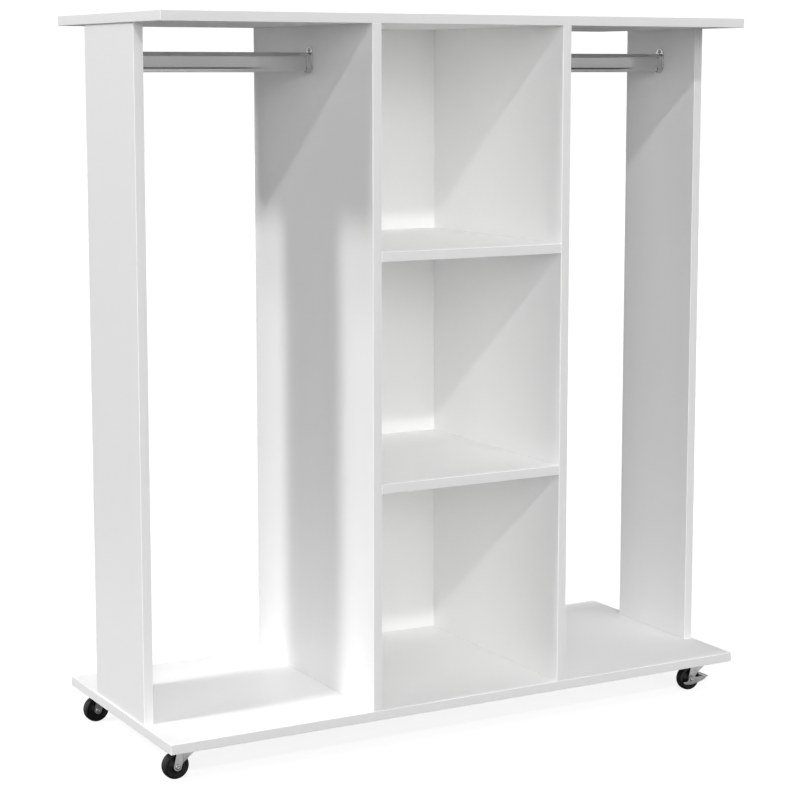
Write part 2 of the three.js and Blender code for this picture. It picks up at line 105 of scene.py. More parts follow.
class Amount:
    """A number that changes over a surface. Arithmetic on it adds Math nodes to its graph."""

    def __init__(self, graph, socket):
        self.graph = graph
        self.socket = socket

    def math(self, operation, *operands):
        made = self.graph.node("ShaderNodeMath", dict(enumerate(operands)), {"operation": operation})
        return Amount(self.graph, made.outputs[0])

    def __add__(self, other):
        return self.math("ADD", self, other)

    def __mul__(self, other):
        return self.math("MULTIPLY", self, other)

    def __sub__(self, other):
        return self.math("SUBTRACT", self, other)

    def __rsub__(self, other):
        return self.math("SUBTRACT", other, self)

    def __truediv__(self, other):
        return self.math("DIVIDE", self, other)

    def __pow__(self, other):
        return self.math("POWER", self, other)

    def __abs__(self):
        return self.math("ABSOLUTE", self)

    __radd__ = __add__
    __rmul__ = __mul__

    def step(self, low, high):
        """0 below low, 1 above high, and a smooth rise between."""
        inputs = {0: self, 1: low, 2: high, 3: 0.0, 4: 1.0}
        made = self.graph.node("ShaderNodeMapRange", inputs, {"interpolation_type": "SMOOTHSTEP"})
        return Amount(self.graph, made.outputs[0])


print("graph helpers ready")

# %% [markdown]
# ## Floor
# A truly white floor would throw so much light upwards that the boards lost their shading. So the kind of
# ray that meets it matters: the camera sees it glow, the boards get a dim grey one, and polished metal
# mirrors a glowing patch round the rack, with a painted shadow under the boards and painted shade far away.

# %% Floor
STUDIO_RADIUS = 24.0
STUDIO_SIDES = 96
FLOOR_GIVEN = (0.2, 0.2, 0.2, 1)
FLOOR_SHADED = (0.3, 0.3, 0.3, 1)
FLOOR_GLOW = 0.86
FLOOR_MIRRORED = 0.6
# painted shadow: how much of the glow that metal mirrors is taken away under the rack
PAINTED_RACK_SHADOW = 0.85
PAINTED_SHADOW_X = (0.48, 0.6)  # where the painted shadow under the rack begins to fade, and where it is gone
PAINTED_SHADOW_Y = (0.17, 0.28)
# painted shade: how much of that glow fades far from the rack
PAINTED_FAR_SHADE = 0.85
FAR_AWAY = (1.2, 1.8)


def new_material(name):
    """An empty material, its graph, and the place of each point on the piece."""
    material = bpy.data.materials.new(name)
    material.use_nodes = True
    material.node_tree.nodes.clear()
    graph = Graph(material.node_tree)
    return material, graph, graph.node("ShaderNodeTexCoord").outputs["Object"]


def parts_of(graph, vector):
    split = graph.node("ShaderNodeSeparateXYZ", {0: vector})
    return [Amount(graph, split.outputs[axis]) for axis in ("X", "Y", "Z")]


def by_ray(graph, given, mirrored, seen):
    """Shows one shader to the camera, one to polished metal, and one to everything else."""
    path = graph.node("ShaderNodeLightPath").outputs
    unseen = graph.node("ShaderNodeMixShader", {
        0: path["Is Glossy Ray"], 1: given.outputs[0], 2: mirrored.outputs[0],
    })
    return graph.node("ShaderNodeMixShader", {
        0: path["Is Camera Ray"], 1: unseen.outputs[0], 2: seen.outputs[0],
    }).outputs[0]


def studio_floor():
    """A round pale floor. Metal mirrors its glow, with a painted shadow under the rack and far away."""
    material, graph, place = new_material("pale_floor")
    given = graph.node("ShaderNodeBsdfDiffuse", {"Color": FLOOR_GIVEN})
    shaded = graph.node("ShaderNodeBsdfDiffuse", {"Color": FLOOR_SHADED})
    glow = graph.node("ShaderNodeEmission", {"Strength": FLOOR_GLOW})
    seen = graph.node("ShaderNodeAddShader", {0: shaded.outputs[0], 1: glow.outputs[0]})
    x, y, _ = parts_of(graph, place)
    # painted shadow under the rack and painted shade far away, in the glow that metal mirrors
    painted_rack_shadow = (1 - abs(x).step(*PAINTED_SHADOW_X)) * (1 - abs(y).step(*PAINTED_SHADOW_Y))
    far = ((x * x + y * y) ** 0.5).step(*FAR_AWAY)
    shine = FLOOR_MIRRORED * (1 - PAINTED_RACK_SHADOW * painted_rack_shadow) * (1 - PAINTED_FAR_SHADE * far)
    mirrored = graph.node("ShaderNodeEmission", {"Strength": shine})
    mixed = by_ray(graph, given, mirrored, seen)
    graph.node("ShaderNodeOutputMaterial", {"Surface": mixed})
    rim = bmesh.new()
    bmesh.ops.create_circle(rim, cap_ends=True, segments=STUDIO_SIDES, radius=STUDIO_RADIUS)
    mesh = bpy.data.meshes.new("floor")
    rim.to_mesh(mesh)
    rim.free()
    mesh.materials.append(material)
    floor = bpy.data.objects.new("floor", mesh)
    bpy.context.scene.collection.objects.link(floor)


studio_floor()
print("floor:", 2 * STUDIO_RADIUS, "m across")

# %% [markdown]
# ## Light
# White furniture only shows its shape if each side gets a different amount of light. The key light is small
# and draws the slanting edge of the top board's shadow. Two lights from the left leave the side board's
# shadow on the divider, and wide ones fill the rest. Metal mirrors only the sky and the floor.

# %% Light
SEEN_WHITE = 1.05
SKY_ABOVE = 0.42
ABOVE = (0.3, 1.0)  # heights on the sky, where 0 is the horizon and 1 is straight up
MIRRORED_SKY = 0.6
MIRRORED_LEFT = 0.35
LEFTWARD = (0.1, 0.9)
MIRRORED_TOP = 1.2
TOP = (0.5, 0.9)
LAMP_DISTANCE = 4
DIFFUSE_BOUNCES = 8  # light has to find its way to the back of white compartments


def studio_sky():
    """White for the camera, a little light from above for the rack, and bright walls for metal to mirror."""
    world = bpy.data.worlds.new("studio")
    world.use_nodes = True
    world.node_tree.nodes.clear()
    graph = Graph(world.node_tree)
    x, _, height = parts_of(graph, graph.node("ShaderNodeTexCoord").outputs["Generated"])
    overhead = SKY_ABOVE * height.step(*ABOVE)
    walls = MIRRORED_SKY + MIRRORED_LEFT * (x * -1.0).step(*LEFTWARD) + MIRRORED_TOP * height.step(*TOP)
    given, mirrored, seen = (
        graph.node("ShaderNodeBackground", {"Color": (1, 1, 1, 1), "Strength": strength})
        for strength in (overhead, walls, SEEN_WHITE)
    )
    mixed = by_ray(graph, given, mirrored, seen)
    graph.node("ShaderNodeOutputWorld", {"Surface": mixed})
    bpy.context.scene.world = world


def far_softbox(name, azimuth, elevation, spread, strength):
    """A softbox so far away that it lights the whole rack evenly. Azimuth 0 is the front and 90 the left."""
    lamp = bpy.data.lights.new(name, "SUN")
    lamp.angle = math.radians(spread)
    lamp.energy = strength
    turn, rise = math.radians(azimuth), math.radians(elevation)
    flat = math.cos(rise)
    towards = Vector((-math.sin(turn) * flat, -math.cos(turn) * flat, math.sin(rise)))
    holder = bpy.data.objects.new(name, lamp)
    holder.rotation_euler = (-towards).to_track_quat("-Z", "Y").to_euler()
    holder.location = LAMP_DISTANCE * towards
    holder.visible_glossy = False
    bpy.context.scene.collection.objects.link(holder)


SOFTBOXES = (  # name, azimuth, elevation and spread in degrees, strength
    ("key", 23, 36.2, 2.2, 0.85),
    ("left_low", 90, 42, 7, 1.27),
    ("left_high", 94, 52, 7, 0.5),
    ("front", 0, 10, 30, 0.82),
    ("front_left", 40, 10, 30, 0.96),
    ("front_high", 0, 60, 30, 0.33),
    ("behind", 180, 6, 12, 1.15),
    ("right", -90, 6, 12, 0.45),
)
studio_sky()
for softbox in SOFTBOXES:
    far_softbox(*softbox)
bpy.context.scene.view_settings.view_transform = "Standard"
bpy.context.scene.cycles.diffuse_bounces = DIFFUSE_BOUNCES
print("sky and", len(SOFTBOXES), "soft lights")

# %% [markdown]
# ## White laminate
# Melamine-faced board has a white film with a very fine pearl texture, about a millimetre across, and a
# slightly uneven gloss. The edges carry a plastic band that is smoother and a little greyer than the faces,
# and painted shade darkens it further on the front and rear edges.
# The bands are marked on the mesh by an attribute, and everything else comes from noise in object space.
# The back panel is painted fibreboard: more matt, with short fibres just showing through the paint.

# %% Laminate and back panel
LAMINATE_WHITE = (0.94, 0.94, 0.937, 1)
LAMINATE_SHADE = (0.93, 0.93, 0.927, 1)
# the band's own greyer tone, darkened further by painted shade on the front and rear edges
BAND_TONE_AND_PAINTED_SHADE = (0.8, 0.8, 0.798, 1)
BAND_ATTRIBUTE = "edge_band"
PANEL_WHITE = (0.95, 0.95, 0.946, 1)
PANEL_SHADE = (0.94, 0.94, 0.936, 1)


def noise(graph, place, scale, detail=2.0, roughness=0.5):
    inputs = {"Vector": place, "Scale": scale, "Detail": detail, "Roughness": roughness}
    return Amount(graph, graph.node("ShaderNodeTexNoise", inputs).outputs[0])


def marked(graph, attribute):
    """1 on the faces that carry the attribute."""
    node = graph.node("ShaderNodeAttribute", settings={"attribute_name": attribute})
    return Amount(graph, node.outputs["Fac"])


def mixed_colour(graph, amount, first, second):
    """first where amount is 0, second where it is 1."""
    inputs = {0: amount, 6: first, 7: second}
    return graph.node("ShaderNodeMix", inputs, {"data_type": "RGBA"}).outputs[2]


def bumped(graph, height, depth, strength=1.0):
    inputs = {"Height": height, "Distance": depth, "Strength": strength}
    return graph.node("ShaderNodeBump", inputs).outputs[0]


def surface(graph, **inputs):
    """The Principled shader and its output. Socket names are written with _ for a space."""
    named = {name.replace("_", " "): value for name, value in inputs.items()}
    shader = graph.node("ShaderNodeBsdfPrincipled", named)
    graph.node("ShaderNodeOutputMaterial", {"Surface": shader.outputs[0]})


def white_laminate():
    material, graph, place = new_material("white_laminate")
    band = marked(graph, BAND_ATTRIBUTE)
    cloud = noise(graph, place, 7.0, 3.0)
    pearl = noise(graph, place, 850.0, 2.0)
    ripple = noise(graph, place, 60.0, 2.0)
    face = mixed_colour(graph, cloud.step(0.3, 0.7), LAMINATE_WHITE, LAMINATE_SHADE)
    # the bands take their greyer tone and the painted shade
    colour = mixed_colour(graph, band, face, BAND_TONE_AND_PAINTED_SHADE)
    relief = (pearl * (1 - 0.7 * band)) + 2.0 * ripple * (0.3 + band)
    surface(
        graph,
        Base_Color=colour,
        Roughness=0.36 + 0.08 * cloud - 0.06 * band + 0.04 * pearl,
        Normal=bumped(graph, relief, 0.02 * MM),
        IOR=1.5,
    )
    return material


def back_panel_white():
    material, graph, place = new_material("back_panel_white")
    fibre = noise(graph, place, 420.0, 4.0, 0.65)
    cloud = noise(graph, place, 5.0, 3.0)
    surface(
        graph,
        Base_Color=mixed_colour(graph, cloud, PANEL_WHITE, PANEL_SHADE),
        Roughness=0.5 + 0.1 * fibre,
        Normal=bumped(graph, fibre, 0.04 * MM),
        IOR=1.48,
    )
    return material


LAMINATE = white_laminate()
BACKING = back_panel_white()
print("materials:", LAMINATE.name, BACKING.name)

# %% [markdown]
# ## From CAD node to finished piece
# A CAD node comes as loose triangles and may not be touched. A copy with its doubles merged and its flat
# faces joined again is a clean start for rounding edges. `finished` gives a mesh its material, checks that
# it is closed and right side out, sets it riding on its body and hides the nodes it stands for.

# %% Piece helpers
MERGE_DISTANCE = 0.002 * MM
ON_PLANE = 0.01 * MM
SMOOTH_BELOW = 35  # degrees between two faces
METAL_SMOOTH = 40
RIVET_SMOOTH = 45


def merged_copy(node):
    """A bmesh of a CAD node, with its doubles merged and its flat faces joined."""
    shape = bmesh.new()
    shape.from_mesh(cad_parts[node].data)
    bmesh.ops.remove_doubles(shape, verts=shape.verts, dist=MERGE_DISTANCE)
    bmesh.ops.dissolve_limit(shape, angle_limit=math.radians(0.5), verts=shape.verts, edges=shape.edges)
    return shape


def islands(shape):
    """The separate closed skins of a bmesh, as lists of faces."""
    left = set(shape.faces)
    while left:
        found = [left.pop()]
        for face in found:
            near = {other for edge in face.edges for other in edge.link_faces} & left
            left -= near
            found.extend(near)
        yield found


def signed_volume(faces):
    total = 0
    for face in faces:
        corners = [vert.co for vert in face.verts]
        for second, third in zip(corners[1:], corners[2:]):
            total += corners[0].dot(second.cross(third)) / 6
    return total


def turn_outwards(shape):
    """Makes the faces of each skin agree, and point out of it."""
    bmesh.ops.recalc_face_normals(shape, faces=shape.faces)
    for faces in islands(shape):
        if signed_volume(faces) < 0:
            bmesh.ops.reverse_faces(shape, faces=faces)


def mesh_of(name, shape):
    turn_outwards(shape)
    mesh = bpy.data.meshes.new(name)
    shape.to_mesh(mesh)
    shape.free()
    return mesh


def check_closed(name, mesh):
    shape = bmesh.new()
    shape.from_mesh(mesh)
    loose = sum(len(edge.link_faces) != 2 for edge in shape.edges)
    volume = shape.calc_volume(signed=True)
    shape.free()
    state = "closed" if not loose else f"OPEN at {loose} edges"
    print(f"{name}: {len(mesh.polygons)} faces, {volume * 1e6:.2f} cm3, {state}")
    if volume <= 0:
        print(f"{name}: INSIDE OUT")


def finished(name, mesh, material, body, replaced=(), smooth=SMOOTH_BELOW):
    """The piece as an object at the origin, riding on its body and standing for its CAD nodes."""
    mesh.materials.clear()
    mesh.materials.append(material)
    check_closed(name, mesh)
    piece = bpy.data.objects.new(name, mesh)
    bpy.context.scene.collection.objects.link(piece)
    mesh.shade_smooth()
    mesh.set_sharp_from_angle(angle=math.radians(smooth))
    weighted = piece.modifiers.new("even_normals", "WEIGHTED_NORMAL")
    weighted.keep_sharp = True
    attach(piece, body)
    if replaced:
        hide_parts(*replaced)


print("piece helpers ready")

# %% [markdown]
# ## Boards
# Each board is cut square and banded, and the banding machine breaks the sharp edges with a radius of
# about a millimetre. That radius catches the light as a fine bright line, so it is real geometry here.
# Only the outline of the board is rounded. The screw holes and the back panel's groove stay crisp.
# The long front and rear edges are marked as banded, and the ends of a board keep the film of its faces.

# %% Boards
EDGE_RADIUS = 0.9 * MM
BOARDS = (
    "top_board", "bottom_board", "left_side_board", "right_side_board",
    "left_divider", "right_divider", "upper_shelf", "lower_shelf",
)


def outline_edges(shape, low, high):
    """The edges of a board that lie along the edges of its box."""
    def limits(corner):
        return {(axis, side) for axis in range(3) for side, end in ((0, low), (1, high))
                if abs(corner[axis] - end[axis]) < ON_PLANE}
    return [edge for edge in shape.edges
            if len(limits(edge.verts[0].co) & limits(edge.verts[1].co)) >= 2]


def rounded_board(node, radius, segments):
    """A CAD board with the edges of its outline rounded."""
    shape = merged_copy(node)
    edges = outline_edges(shape, *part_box(node))
    bmesh.ops.bevel(shape, geom=edges, offset=radius, offset_type="OFFSET", segments=segments,
                    profile=0.5, affect="EDGES", clamp_overlap=False)
    return mesh_of(node, shape)


def mark_faces(mesh, attribute, chosen):
    """Writes 1 on the faces that chosen picks by their middle, and 0 on the others."""
    marks = mesh.attributes.new(attribute, "FLOAT", "FACE")
    marks.data.foreach_set("value", [float(chosen(face.center)) for face in mesh.polygons])


for board in BOARDS:
    low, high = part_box(board)
    mesh = rounded_board(board, EDGE_RADIUS, 3)
    mark_faces(mesh, BAND_ATTRIBUTE, lambda at: min(at.y - low.y, high.y - at.y) < ON_PLANE)
    finished(board + "_laminate", mesh, LAMINATE, "rack", [board])

# %% [markdown]
# ## Back panel
# The panel behind the shelves is a thin sheet that slides in grooves of the two dividers. It has no bands,
# and a saw leaves its edges almost sharp, so the same rounding is used with a third of the radius.

# %% Back panel
PANEL_EDGE = 0.3 * MM
mesh = rounded_board("back_panel", PANEL_EDGE, 2)
finished("back_panel_sheet", mesh, BACKING, "rack", ["back_panel"])

# %% [markdown]
# ## Drawing thin metal
# The fittings are turned, pressed or cut from sheet, so three helpers make nearly all of them. `turned`
# spins a profile about Z, `plate` thickens an outline and breaks its rims, and `softened` rounds an
# outline's corners first. They use bmesh because each result has to be one closed skin.

# %% Outlines
def rounded_corner(before, here, after, wanted, steps):
    """The points of a curve that takes the place of one corner."""
    back, onward = before - here, after - here
    reach = min(wanted, 0.45 * back.length, 0.45 * onward.length)
    start = here + back.normalized() * reach
    end = here + onward.normalized() * reach
    parts = [step / steps for step in range(steps + 1)]
    return [start * (1 - part) ** 2 + here * (2 * part * (1 - part)) + end * part ** 2 for part in parts]


def softened(corners, radius=0.0, steps=4):
    """A closed outline with its corners rounded. A corner may bring its own radius as a third number."""
    outline = []
    for index, corner in enumerate(corners):
        near = (corners[index - 1], corner, corners[(index + 1) % len(corners)])
        wanted = corner[2] if len(corner) > 2 else radius
        outline += rounded_corner(*(Vector(each[:2]) for each in near), wanted, steps)
    return outline


def arc(centre, radius, start, end, steps):
    """Points along an arc. The angles are in degrees."""
    angles = [math.radians(start + (end - start) * step / steps) for step in range(steps + 1)]
    return [Vector((centre[0] + radius * math.cos(a), centre[1] + radius * math.sin(a))) for a in angles]


def hole(centre, radius, sides=20):
    return arc(centre, radius, 0, 360 - 360 / sides, sides - 1)


def in_mm(*points):
    """Points given in millimetres, as metres."""
    return [tuple(value * MM for value in point) for point in points]


print("a softened square has", len(softened([(0, 0), (1, 0), (1, 1), (0, 1)], 0.1)), "points")

# %% Turned and pressed shapes
RIM = 0.3 * MM
TINY = 1e-7
SHARP = 1.2  # radians between two faces


def turned(profile, sides, closed=False):
    """A shape turned about Z from (radius, height) points. An open profile starts and ends on the axis."""
    shape = bmesh.new()
    rings = []
    for radius, height in profile:
        count = sides if radius > TINY else 1
        turns = [2 * math.pi * step / count for step in range(count)]
        places = [(radius * math.cos(turn), radius * math.sin(turn), height) for turn in turns]
        rings.append([shape.verts.new(place) for place in places])
    for low, high in zip(rings, rings[1:] + (rings[:1] if closed else [])):
        for step in range(sides):
            after = (step + 1) % sides
            corners = [low[step % len(low)], low[after % len(low)]]
            corners += [high[after % len(high)], high[step % len(high)]]
            shape.faces.new(dict.fromkeys(corners))
    bmesh.ops.recalc_face_normals(shape, faces=shape.faces)
    return shape


def plate(outline, low, high, holes=(), edge=RIM, segments=2):
    """A sheet drawn in X and Y between two heights, with its rims broken."""
    shape = bmesh.new()
    for loop in (outline, *holes):
        corners = [shape.verts.new((x, y, low)) for x, y in loop]
        for first, second in zip(corners, corners[1:] + corners[:1]):
            shape.edges.new((first, second))
    bmesh.ops.triangle_fill(shape, use_beauty=True, edges=shape.edges)
    bmesh.ops.dissolve_limit(shape, angle_limit=0.01, verts=shape.verts, edges=shape.edges)
    lifted = bmesh.ops.extrude_face_region(shape, geom=shape.faces[:])["geom"]
    corners = [item for item in lifted if isinstance(item, bmesh.types.BMVert)]
    bmesh.ops.translate(shape, vec=(0, 0, high - low), verts=corners)
    bmesh.ops.recalc_face_normals(shape, faces=shape.faces)
    rims = [each for each in shape.edges if each.calc_face_angle(0) > SHARP
            and abs(each.verts[0].co.z - each.verts[1].co.z) < TINY]
    bmesh.ops.bevel(shape, geom=rims, offset=edge, offset_type="OFFSET", segments=segments, profile=0.5,
                    affect="EDGES", clamp_overlap=True)
    return shape


def stood_up(shape):
    """Turns a sheet drawn in X and Y into one that stands in X and Z, with its thickness along Y."""
    for corner in shape.verts:
        corner.co = (corner.co.x, corner.co.z, corner.co.y)
    bmesh.ops.recalc_face_normals(shape, faces=shape.faces)
    return shape


def gathered(*shapes):
    """Several closed shapes in one bmesh. The parts are used up."""
    whole = bmesh.new()
    for shape in shapes:
        mesh = bpy.data.meshes.new("part")
        shape.to_mesh(mesh)
        shape.free()
        whole.from_mesh(mesh)
        bpy.data.meshes.remove(mesh)
    return whole


def moved(shape, place):
    bmesh.ops.translate(shape, vec=place, verts=shape.verts)
    return shape


print("shape helpers ready")

# %% [markdown]
# ## Metals
# The rails are chromed tube, bright and nearly smooth, with faint draw lines along them. The caster sheet is
# zinc plated: duller, grey, and clouded where the plating dried. Rivets and screws are brighter steel.

# %% Metals
CHROME_LIGHT = (0.64, 0.64, 0.645, 1)
CHROME_DARK = (0.59, 0.59, 0.595, 1)
ZINC_LIGHT = (0.86, 0.862, 0.868, 1)
ZINC_DARK = (0.7, 0.7, 0.71, 1)
STEEL_LIGHT = (0.86, 0.86, 0.87, 1)
STEEL_DARK = (0.7, 0.7, 0.71, 1)


def bright_chrome():
    material, graph, place = new_material("bright_chrome")
    drawn = graph.node("ShaderNodeMapping", {"Vector": place, "Scale": (2, 900, 900)}).outputs[0]
    lines = noise(graph, drawn, 1.0, 3.0)
    haze = noise(graph, place, 14.0, 3.0)
    surface(
        graph,
        Base_Color=mixed_colour(graph, haze, CHROME_LIGHT, CHROME_DARK),
        Metallic=1.0,
        Roughness=0.09 + 0.05 * haze + 0.06 * lines,
        Normal=bumped(graph, lines, 0.004 * MM),
    )
    return material


def plated_zinc():
    material, graph, place = new_material("plated_zinc")
    cloud = noise(graph, place, 90.0, 4.0, 0.6)
    grain = noise(graph, place, 1500.0, 2.0)
    surface(
        graph,
        Base_Color=mixed_colour(graph, cloud.step(0.3, 0.72), ZINC_LIGHT, ZINC_DARK),
        Metallic=1.0,
        Roughness=0.2 + 0.14 * cloud + 0.06 * grain,
        Normal=bumped(graph, grain + 2.0 * cloud, 0.02 * MM),
    )
    return material


def bright_steel():
    material, graph, place = new_material("bright_steel")
    grain = noise(graph, place, 700.0, 3.0)
    cloud = noise(graph, place, 120.0, 2.0)
    surface(
        graph,
        Base_Color=mixed_colour(graph, cloud, STEEL_LIGHT, STEEL_DARK),
        Metallic=1.0,
        Roughness=0.16 + 0.12 * cloud,
        Normal=bumped(graph, grain, 0.01 * MM),
    )
    return material


CHROME = bright_chrome()
ZINC = plated_zinc()
STEEL = bright_steel()
print("metals:", CHROME.name, ZINC.name, STEEL.name)

# %% [markdown]
# ## Black nylon and cap plastic
# The wheels are moulded in black nylon, glossier on the hub than on the tread, which has picked up fine
# scuffs. The tread is marked by an attribute, as the boards' bands are. The caps are soft white plastic.

# %% Plastics
TREAD_ATTRIBUTE = "tread"
NYLON_BLACK = (0.004, 0.004, 0.0045, 1)
NYLON_SCUFFED = (0.028, 0.028, 0.029, 1)
CAP_WHITE = (0.9, 0.9, 0.895, 1)
CAP_SHADE = (0.87, 0.87, 0.865, 1)


def black_nylon():
    material, graph, place = new_material("black_nylon")
    tread = marked(graph, TREAD_ATTRIBUTE)
    grain = noise(graph, place, 900.0, 3.0)
    scuff = noise(graph, place, 260.0, 4.0, 0.7).step(0.52, 0.72) * tread
    surface(
        graph,
        Base_Color=mixed_colour(graph, scuff, NYLON_BLACK, NYLON_SCUFFED),
        Roughness=0.2 + 0.1 * grain + 0.2 * tread + 0.12 * scuff,
        Normal=bumped(graph, grain + 1.5 * scuff, 0.02 * MM),
        IOR=1.55,
    )
    return material


def cap_plastic():
    material, graph, place = new_material("cap_plastic")
    grain = noise(graph, place, 1200.0, 2.0)
    cloud = noise(graph, place, 40.0, 2.0)
    surface(
        graph,
        Base_Color=mixed_colour(graph, cloud, CAP_WHITE, CAP_SHADE),
        Roughness=0.4 + 0.1 * grain,
        Normal=bumped(graph, grain, 0.01 * MM),
        IOR=1.49,
    )
    return material


NYLON = black_nylon()
CAP_PLASTIC = cap_plastic()
print("plastics:", NYLON.name, CAP_PLASTIC.name)

# %% [markdown]
# ## Hanging rails
# A wardrobe rail is an oval tube, 30 by 15 millimetres, and it drops from above into an open cup screwed
# to each upright. The tube is drawn as two ovals, one inside the other, and joined round its cut ends.

# %% Rails
RAIL_WALL = 1.0 * MM
RAIL_RIM = 0.2 * MM
RAIL_ARC_STEPS = 20


def oval(width, height):
    """A straight-sided oval in Y and Z, as points."""
    radius = width / 2
    straight = height / 2 - radius
    upper = arc((0, straight), radius, 0, 180, RAIL_ARC_STEPS)
    lower = arc((0, -straight), radius, 180, 360, RAIL_ARC_STEPS)
    return upper + lower


def tube_between(low, high, outer, inner):
    """An open tube along X: four rings of points, joined in a loop so that the ends are closed rims."""
    shrunk = [point * (1 - RAIL_RIM / point.length) for point in outer]
    rings = []
    shape = bmesh.new()
    for x, outline in (
        (low, shrunk), (low + RAIL_RIM, outer), (high - RAIL_RIM, outer),
        (high, shrunk), (high, inner), (low, inner),
    ):
        rings.append([shape.verts.new((x, point[0], point[1])) for point in outline])
    for first, second in zip(rings, rings[1:] + rings[:1]):
        for step in range(len(first)):
            after = (step + 1) % len(first)
            shape.faces.new((first[step], first[after], second[after], second[step]))
    bmesh.ops.recalc_face_normals(shape, faces=shape.faces)
    return shape


def rail_piece(side):
    node = side + "_hanging_rail"
    low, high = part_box(node)
    width, height = high.y - low.y, high.z - low.z
    inside = oval(width - 2 * RAIL_WALL, height - 2 * RAIL_WALL)
    shape = tube_between(low.x, high.x, oval(width, height), inside)
    moved(shape, (0, (low.y + high.y) / 2, (low.z + high.z) / 2))
    finished(node + "_tube", mesh_of(node, shape), CHROME, "rack", [node])


for side in ("left", "right"):
    rail_piece(side)

# %% [markdown]
# ## Rail sockets
# A socket is a small chromed cup: a round-ended plate against the upright, with a screw tab above the
# rail, and a U-shaped lip that cradles the tube. Both parts are drawn facing +X and turned to face -X
# where the socket sits at the other end of the rail.

# %% Sockets
SOCKET_PLATE = 1.5 * MM
SOCKET_LIP = 1.5 * MM
SOCKET_RIM = 0.35 * MM
SOCKET_CLEARANCE = 0.3 * MM
SOCKET_SCREW_RADIUS = 1.9 * MM
SOCKET_SCREW_DROP = 5 * MM  # below the top of the tab
RAIL_TO_UPRIGHT = 1.8 * MM


def socket_piece(node, rail):
    low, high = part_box(node)
    rail_low, rail_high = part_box(rail)
    middle = (rail_low.z + rail_high.z) / 2
    half = (high.y - low.y) / 2
    bottom, top = low.z - middle, high.z - middle
    outline = arc((0, top - half), half, 0, 180, 16) + arc((0, bottom + half), half, 180, 360, 16)
    screws = [hole((0, up), SOCKET_SCREW_RADIUS) for up in (0, top - SOCKET_SCREW_DROP)]
    wall = plate(outline, 0, SOCKET_PLATE, screws, SOCKET_RIM, 3)

    inner = (rail_high.y - rail_low.y) / 2 + SOCKET_CLEARANCE
    outer = inner + SOCKET_LIP
    bend = -((rail_high.z - rail_low.z) / 2 - (rail_high.y - rail_low.y) / 2)
    lip_top = -bend + inner / 2
    cup = [Vector((outer, lip_top)), Vector((inner, lip_top))]
    cup += arc((0, bend), inner, 0, -180, 16)
    cup += [Vector((-inner, lip_top)), Vector((-outer, lip_top))]
    cup += arc((0, bend), outer, -180, 0, 16)
    lip = plate(cup, 0.5 * SOCKET_PLATE, high.x - low.x, (), SOCKET_RIM, 3)
    shape = gathered(wall, lip)
    wall_left, wall_right = rail_low.x - RAIL_TO_UPRIGHT, rail_high.x + RAIL_TO_UPRIGHT
    faces_right = abs(low.x - wall_left) < abs(high.x - wall_right)
    for corner in shape.verts:
        depth, across, up = corner.co.z, corner.co.x, corner.co.y
        corner.co = (low.x + depth if faces_right else high.x - depth, across, middle + up)
    bmesh.ops.recalc_face_normals(shape, faces=shape.faces)
    finished(node + "_casting", mesh_of(node, shape), CHROME, "rack", [node])


for side in ("left", "right"):
    for end in ("inner", "outer"):
        socket_piece(f"{side}_rail_{end}_socket", side + "_hanging_rail")

# %% [markdown]
# ## Casters
# Each caster swivels: it has a square mounting plate with a ball race, a pressed fork that turns on a
# riveted kingpin, and a nylon wheel trailing behind the swivel axis. One caster is drawn about its own
# swivel axis, with zero height at the underside of the base, and then set in four places.
# The two at the right-hand end also carry a pressed brake pedal.

# %% Where the casters are
CASTERS = {}
for word in ("front_left", "front_right", "rear_left", "rear_right"):
    low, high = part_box(word + "_caster_plate")
    CASTERS[word] = Vector(((low.x + high.x) / 2, (low.y + high.y) / 2, high.z))
BRAKED = ("front_right", "rear_right")
WHEEL_LOW, WHEEL_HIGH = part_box("front_left_caster_wheel")
WHEEL_RADIUS = (WHEEL_HIGH.z - WHEEL_LOW.z) / 2
WHEEL_HALF = (WHEEL_HIGH.y - WHEEL_LOW.y) / 2
AXLE = (WHEEL_LOW + WHEEL_HIGH) / 2 - CASTERS["front_left"]
AXLE_RADIUS = 2.5 * MM
print("caster wheels:", round(2 * WHEEL_RADIUS / MM, 1), "mm across, trail", round(-AXLE.x / MM, 1), "mm")

# %% [markdown]
# ### The mounting plate
# A square of sheet has rounded corners and four screw holes. Below it hang the fixed half of the ball race
# and the kingpin that was riveted over to hold the fork. Race and kingpin are round, so they are turned as
# one profile from the axis outwards and back.

# %% Mounting plates
PLATE_SHEET = 2 * MM
PLATE_CORNER = 5 * MM
PLATE_RIM = 0.35 * MM
PLATE_HOLE_RADIUS = 2.3 * MM
SCREW_PITCH = 32 * MM


def mounting_plate(word):
    low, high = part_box(word + "_caster_plate")
    half = (high.x - low.x) / 2
    rivet_end = (low.z - high.z) / MM
    square = softened([(-half, -half), (half, -half), (half, half), (-half, half)], PLATE_CORNER, 8)
    away = SCREW_PITCH / 2
    holes = [hole((x, y), PLATE_HOLE_RADIUS) for x in (-away, away) for y in (-away, away)]
    sheet = plate(square, -PLATE_SHEET, 0, holes, PLATE_RIM, 3)
    race = in_mm(
        (0, -1), (15.5, -1), (15.3, -2.1), (14.7, -2.4), (13.9, -3.9), (13.4, -4.6), (12.5, -5), (3, -5),
        (3, -7.6), (5.3, -7.6), (5.5, -7.9), (5.2, -8.5), (4.2, rivet_end + 0.15), (2.4, rivet_end),
        (1.5, rivet_end + 0.6), (0, rivet_end + 0.8),
    )
    return gathered(sheet, turned(race, 64))


for word, place in CASTERS.items():
    shape = moved(mounting_plate(word), place)
    finished(word + "_mounting_plate", mesh_of(word, shape), ZINC, "rack", [word + "_caster_plate"])

# %% [markdown]
# ### The fork
# The fork is one blank of sheet steel, bent down on both sides. Its legs are pressed too: the strip that
# holds the axle stays proud, and the web beside it is pushed in and comes out again near the front corner.
# So it is drawn flat, cut into a fine grid, and then bent by moving its points, as the press does.
# `s` runs along the blank from the middle of the head, round the bend and down the leg.

